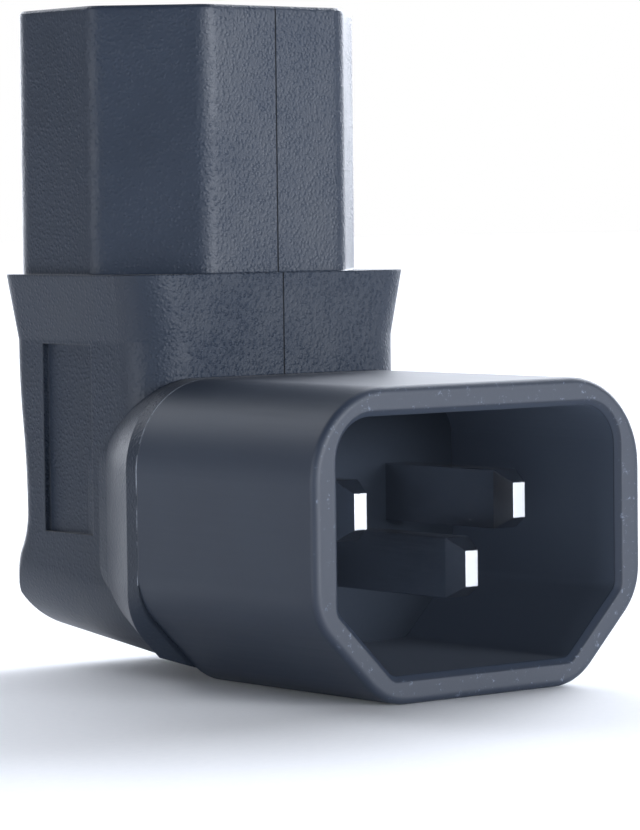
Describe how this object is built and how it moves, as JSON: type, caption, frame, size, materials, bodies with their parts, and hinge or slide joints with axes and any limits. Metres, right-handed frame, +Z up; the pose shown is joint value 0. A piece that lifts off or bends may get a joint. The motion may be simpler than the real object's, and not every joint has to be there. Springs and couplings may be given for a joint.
{
  "type": "right-angle IEC power adapter",
  "caption": "Dark slate right-angle mains adapter: an upright keyed socket nose above a waisted textured body, with a smooth shrouded plug pointing to the front.",
  "frame": {"origin": "on the surface that it stands on, under the middle of its bounding box", "axes": "+Z up along the socket nose, -Y out of the plug shroud, +X to the right seen from the plug"},
  "size_m": [0.0286, 0.038, 0.0463],
  "materials": {
    "soft_pvc": "fine spark-eroded grain, matte",
    "hard_shell": "smooth satin",
    "insert_plastic": "smooth, dull",
    "inner_pvc": "as moulded",
    "nickel_plate": "nickel-plated brass, bright",
    "contact_brass": "stamped strip"
  },
  "bodies": {
    "root": {"outer_body": "soft_pvc", "plug_shroud": "hard_shell", "line_pin": "nickel_plate", "neutral_pin": "nickel_plate", "earth_pin": "nickel_plate", "socket_insert": "insert_plastic", "insert_cap": "insert_plastic", "line_contact": "contact_brass", "neutral_contact": "contact_brass", "earth_contact": "contact_brass", "line_link": "contact_brass", "neutral_link": "contact_brass", "earth_link": "contact_brass", "inner_mould": "inner_pvc"}
  },
  "joints": []
}
